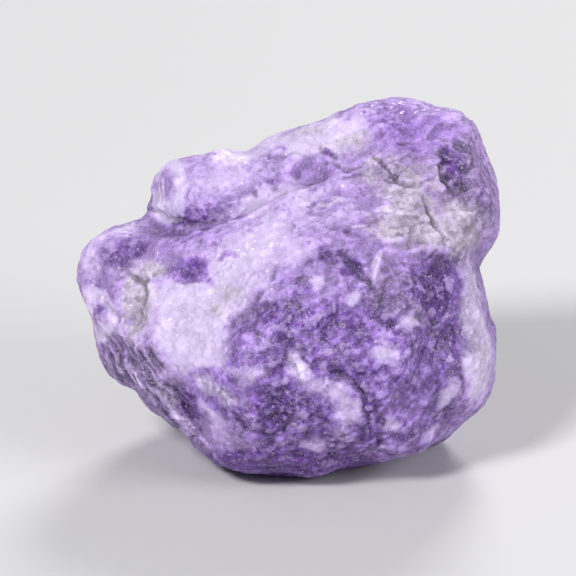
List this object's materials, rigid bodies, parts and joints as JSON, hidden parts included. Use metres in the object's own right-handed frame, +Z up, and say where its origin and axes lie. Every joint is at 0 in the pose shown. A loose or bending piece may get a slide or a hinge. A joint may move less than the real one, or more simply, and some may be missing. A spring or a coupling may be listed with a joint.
{
  "type": "raw lepidolite stone",
  "caption": "Raw piece of lilac lepidolite mica rock: a broken, lightly worn lump with a ledge along its top, a pale band, a cream-grey patch and a flat underside.",
  "frame": {"origin": "middle of the stone's box at the bottom, on the flat face it rests on", "axes": "+X along its length, to the viewer's right; +Y away from the viewer; +Z up"},
  "size_m": [0.036, 0.0282, 0.0294],
  "materials": {
    "lilac_mica": "waxy, finely glittering lilac mica with pale and grey patches"
  },
  "bodies": {
    "root": {"lepidolite_stone": "lilac_mica"}
  },
  "joints": []
}
